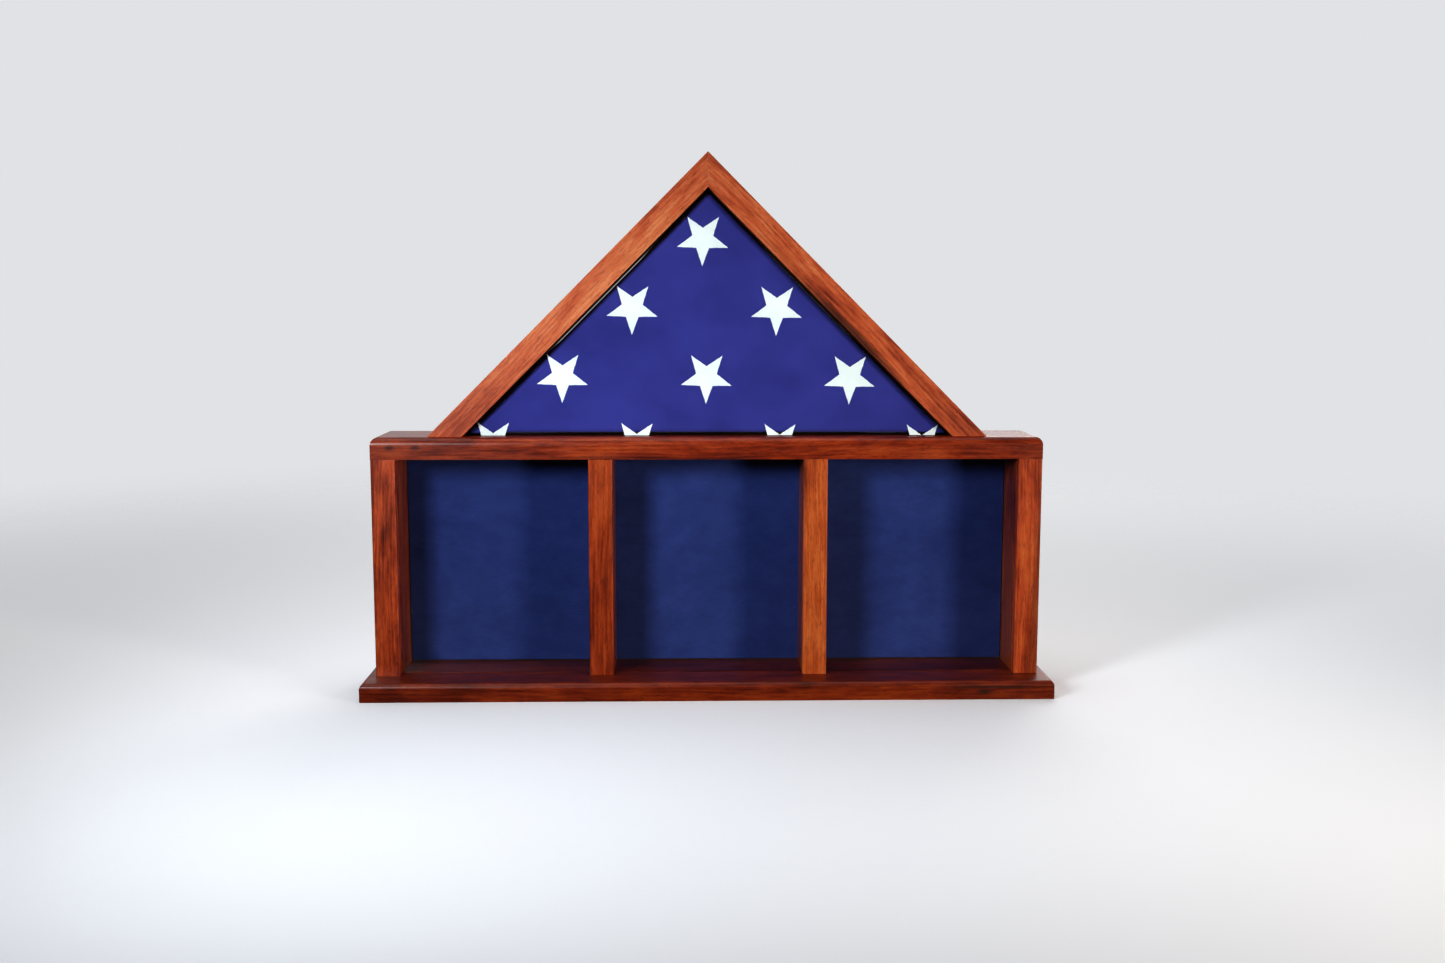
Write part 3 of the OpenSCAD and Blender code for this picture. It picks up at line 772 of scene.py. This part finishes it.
dress(right_rail, hardwood("right_rail_wood", (0, -slope, 0), (0.7, 0.05, -0.42), rail_tones,
                           knots=[(streak, streak_radius, streak_slimness)]),
      "case", "rail_wood", "right_rail")
blocks = eased("corner_blocks", 0.4 * mm, 2)
dress(blocks, hardwood("block_wood", along_x, (0.1, 0.06, 0.05), rail_tones), "case", "rail_wood",
      "corner_blocks")


# ---- Flag pane ----------------------------------------------------------------------------
# A triangle of the same float glass, let into grooves in the rails and the top board. The front
# of the flag lies right behind it.
glaze("flag_glass")


# ---- Folded flag --------------------------------------------------------------------------
# Cotton bunting folded corner over corner into a thick triangle. Its front lies flat against
# the pane, its edges are soft, and the last fold is tucked in across the back.
flag_low, flag_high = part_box("folded_flag")


def bunting(name, low_tone, tone, thread=1050.0):
    """Plain-woven cotton: two sets of threads, a little uneven, with slack patches in the dye."""
    mat, tree = blank_material(name)
    spot = add(tree, "TexCoord").outputs["Object"]
    uneven = stretched(tree, spot, (38, 38, 60), 3.0, 0.6)
    fuzz = stretched(tree, spot, (1500, 1500, 1500), 2.0, 0.6)
    dye = stretched(tree, spot, (16, 16, 22), 3.0, 0.5, (2.0, 5.0, 1.0))
    axes = add(tree, "SeparateXYZ", {0: spot})
    weave = []
    for axis in ("X", "Z"):
        phase = math_node(tree, "MULTIPLY", axes.outputs[axis], thread * math.pi)
        phase = math_node(tree, "ADD", phase, math_node(tree, "MULTIPLY", uneven, 5.0))
        weave.append(math_node(tree, "ABSOLUTE", math_node(tree, "SINE", phase)))
    cloth = weighted(tree, (math_node(tree, "MAXIMUM", *weave), 0.6), (fuzz, 0.4))
    shade = weighted(tree, (dye, 0.65), (cloth, 0.35))
    colour = ramp(tree, shade, [(0.38, low_tone), (0.68, tone)])
    bump = add(tree, "Bump", {"Height": cloth, "Distance": 0.12 * mm, "Strength": 0.5})
    shader = add(tree, "BsdfPrincipled", {"Base Color": colour, "Roughness": 0.88,
                                          "Normal": bump.outputs[0], "Sheen Weight": 0.15,
                                          "Sheen Roughness": 0.45,
                                          "Specular IOR Level": 0.2})
    finish_with(tree, shader.outputs[0])
    return mat


def inside_case(spot):
    """Moves a point of the flag back inside the space that its case leaves for it."""
    clear, back_clear, room_at_rails = 0.15 * mm, 0.2 * mm, 1.35 * mm
    spot.y = min(max(spot.y, flag_low.y + clear), flag_high.y - back_clear)
    past = spot.z + abs(spot.x) - (flag_high.z + room_at_rails)
    if past > 0:
        spot.x -= math.copysign(past / 2, spot.x)
        spot.z -= past / 2
    spot.z = max(spot.z, flag_low.z + clear)
    return spot


def flag_bundle():
    """The folded cloth: a soft triangular block, swollen by its folds and held by its case."""
    slack, swell, slant = 0.4 * mm, 0.95 * mm, math.sqrt(2)
    cuts_across, cuts_deep, last_frame, most = 55, 13, 15, 2.5 * mm
    corner_in = slack - swell * slant
    bm = bmesh.new()
    faces = []
    for y in (flag_low.y + slack, flag_high.y - slack):
        corners = [(flag_low.x + corner_in, flag_low.z + slack),
                   (flag_high.x - corner_in, flag_low.z + slack), (0, flag_high.z + swell * slant)]
        faces.append([bm.verts.new((x, y, z)) for x, z in corners])
    front, back = faces
    bm.faces.new(front)
    bm.faces.new(back[::-1])
    for k in range(3):
        bm.faces.new((front[k - 1], back[k - 1], back[k], front[k]))
    flat = [e for e in bm.edges if abs(e.verts[0].co.y - e.verts[1].co.y) < mm]
    bmesh.ops.subdivide_edges(bm, edges=flat, cuts=cuts_across, use_grid_fill=True)
    deep = [e for e in bm.edges if abs(e.verts[0].co.y - e.verts[1].co.y) > mm]
    bmesh.ops.subdivide_edges(bm, edges=deep, cuts=cuts_deep, use_grid_fill=True)
    bmesh.ops.smooth_vert(bm, verts=bm.verts, factor=0.5, use_axis_x=True, use_axis_y=True,
                          use_axis_z=True)
    bmesh.ops.recalc_face_normals(bm, faces=bm.faces)
    start = bpy.data.meshes.new("folded_flag")
    bm.to_mesh(start)
    bm.free()
    bundle = new_object("folded_flag", start)
    before = [v.co.copy() for v in bundle.data.vertices]
    cloth = bundle.modifiers.new("swell", "CLOTH")
    cloth.settings.use_pressure = True
    cloth.settings.uniform_pressure_force = 4.0
    cloth.settings.effector_weights.gravity = 0.0
    for number in range(1, last_frame + 1):
        scene.frame_set(number)
    settle(bundle)
    scene.frame_set(1)
    for v, old in zip(bundle.data.vertices, before):
        moved = v.co - old
        if moved.length > most:
            moved *= most / moved.length
        v.co = inside_case(old + moved)
    finer = bundle.modifiers.new("finer", "SUBSURF")
    finer.levels = 1
    finer.render_levels = 1
    settle(bundle)
    layers, groove = 6, 0.9 * mm
    tuck_step, tuck_from, tuck_slope, tuck_edge = 1.4 * mm, 0.30, 0.5, 0.012
    depth = flag_high.y - flag_low.y
    shifts = []
    for v in bundle.data.vertices:
        back_share = (v.co.y - flag_low.y) / depth
        flatness = abs(v.normal.y)
        shift = Vector()
        if flatness < 0.5:
            crease = 1 - abs(math.cos(math.pi * layers * back_share))
            shift -= v.normal * groove * crease ** 2 * (1 - flatness * 2)
        elif back_share > 0.5:
            across = (v.co.x - flag_low.x) / (flag_high.x - flag_low.x)
            up = (v.co.z - flag_low.z) / (flag_high.z - flag_low.z)
            lap = min(max((across - tuck_from - up * tuck_slope) / tuck_edge, 0.0), 1.0)
            shift.y -= tuck_step * (1 - lap)
        shifts.append(shift)
    for v, shift in zip(bundle.data.vertices, shifts):
        v.co = inside_case(v.co + shift)
    bundle.data.shade_smooth()
    return bundle


flag = flag_bundle()
navy = bunting("flag_bunting", (0.043, 0.045, 0.240), (0.064, 0.067, 0.330))
dress(flag, navy, "case", "flag_cloth", "folded_flag")


# ---- Stars --------------------------------------------------------------------------------
# White five-pointed stars, sewn on in rows that are offset by half a step and point down. The
# lowest row runs under the fold at the bottom, so only its upper points show.
def star_tree():
    """A node tree that sews a flat star at each point, facing forward, with uneven edges."""
    edge_points, edge_noise, edge_pull = 130, 900.0, 1.1 * mm
    face_forward, turn = math.radians(90), math.radians(91)
    tree = bpy.data.node_groups.new("sewn_stars", "GeometryNodeTree")
    face = tree.interface
    face.new_socket("Points", in_out="INPUT", socket_type="NodeSocketGeometry")
    for label in ("Outer Radius", "Inner Radius", "Thickness"):
        face.new_socket(label, in_out="INPUT", socket_type="NodeSocketFloat")
    face.new_socket("Finish", in_out="INPUT", socket_type="NodeSocketMaterial")
    face.new_socket("Geometry", in_out="OUTPUT", socket_type="NodeSocketGeometry")
    make, link = tree.nodes.new, tree.links.new
    given, result = make("NodeGroupInput"), make("NodeGroupOutput")
    star = make("GeometryNodeCurveStar")
    star.inputs["Points"].default_value = 5
    stitches = make("GeometryNodeResampleCurve")
    stitches.inputs["Count"].default_value = edge_points
    ragged = make("GeometryNodeSetPosition")
    unevenness = make("ShaderNodeTexNoise")
    unevenness.inputs["Scale"].default_value = edge_noise
    centred = make("ShaderNodeVectorMath")
    centred.operation = "SUBTRACT"
    centred.inputs[1].default_value = (0.5, 0.5, 0.5)
    pull = make("ShaderNodeVectorMath")
    pull.operation = "MULTIPLY"
    pull.inputs[1].default_value = (edge_pull, edge_pull, 0)
    fill = make("GeometryNodeFillCurve")
    thick = make("GeometryNodeExtrudeMesh")
    thick.inputs["Individual"].default_value = False
    flip = make("GeometryNodeFlipFaces")
    join = make("GeometryNodeJoinGeometry")
    weld = make("GeometryNodeMergeByDistance")
    weld.inputs["Distance"].default_value = 0.01 * mm
    place = make("GeometryNodeInstanceOnPoints")
    place.inputs["Rotation"].default_value = (face_forward, turn, 0)
    real, paint = make("GeometryNodeRealizeInstances"), make("GeometryNodeSetMaterial")
    link(given.outputs["Outer Radius"], star.inputs["Outer Radius"])
    link(given.outputs["Inner Radius"], star.inputs["Inner Radius"])
    link(star.outputs[0], stitches.inputs["Curve"])
    link(stitches.outputs[0], ragged.inputs["Geometry"])
    link(unevenness.outputs["Color"], centred.inputs[0])
    link(centred.outputs[0], pull.inputs[0])
    link(pull.outputs[0], ragged.inputs["Offset"])
    link(ragged.outputs[0], fill.inputs["Curve"])
    link(fill.outputs[0], thick.inputs["Mesh"])
    link(given.outputs["Thickness"], thick.inputs["Offset Scale"])
    link(fill.outputs[0], flip.inputs["Mesh"])
    link(thick.outputs["Mesh"], join.inputs[0])
    link(flip.outputs[0], join.inputs[0])
    link(join.outputs[0], weld.inputs[0])
    link(given.outputs["Points"], place.inputs["Points"])
    link(weld.outputs[0], place.inputs["Instance"])
    link(place.outputs[0], real.inputs[0])
    link(real.outputs[0], paint.inputs["Geometry"])
    link(given.outputs["Finish"], paint.inputs["Material"])
    link(paint.outputs[0], result.inputs[0])
    return tree


star_rows, star_radius, star_waist, star_thickness = 4, 25.4 * mm, 0.405, 0.45 * mm
star_step_x, star_step_z = 136.2 * mm, 64.7 * mm
star_lean, star_dip, star_depth, star_foot = 1.7 * mm, -0.006, 0.25 * mm, 0.4 * mm
top_star = Vector((-4.9 * mm, 0, flag_low.z + 185.2 * mm))
star_places = []
for row in range(star_rows):
    for number in range(row + 1):
        x = top_star.x + star_lean * row + (number - row / 2) * star_step_x
        z = top_star.z - row * star_step_z + (x - top_star.x) * star_dip
        star_places.append((x, flag_low.y + star_depth, z))
white = bunting("star_cotton", (0.74, 0.80, 0.82), (0.90, 0.95, 0.96), 900.0)
stars = points_object("stars", star_places)
sewn = stars.modifiers.new("sewn", "NODES")
sewn.node_group = star_tree()
for key, value in (("Outer Radius", star_radius), ("Inner Radius", star_radius * star_waist),
                   ("Thickness", star_thickness), ("Finish", white)):
    sewn[socket_id(sewn.node_group, key)] = value
settle(stars)
bm = bmesh.new()
bm.from_mesh(stars.data)
cut = bmesh.ops.bisect_plane(bm, geom=bm.verts[:] + bm.edges[:] + bm.faces[:],
                             plane_co=(0, 0, flag_low.z + star_foot), plane_no=(0, 0, -1),
                             clear_outer=True)
bmesh.ops.holes_fill(bm, edges=[e for e in cut["geom_cut"] if isinstance(e, bmesh.types.BMEdge)])
bm.to_mesh(stars.data)
bm.free()
dress(stars, white, "case", "flag_cloth")


# ---- Flag back panel ----------------------------------------------------------------------
# A plywood triangle that drops in behind the flag against the corner blocks, and lifts
# straight out by its knob.
panel_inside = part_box("flag_panel")[0].y
panel = eased("flag_panel", 0.3 * mm, 2)
dress(panel, plywood("panel_plywood", 1.0 * mm, panel_inside), "flag_back", "plywood", "flag_panel")
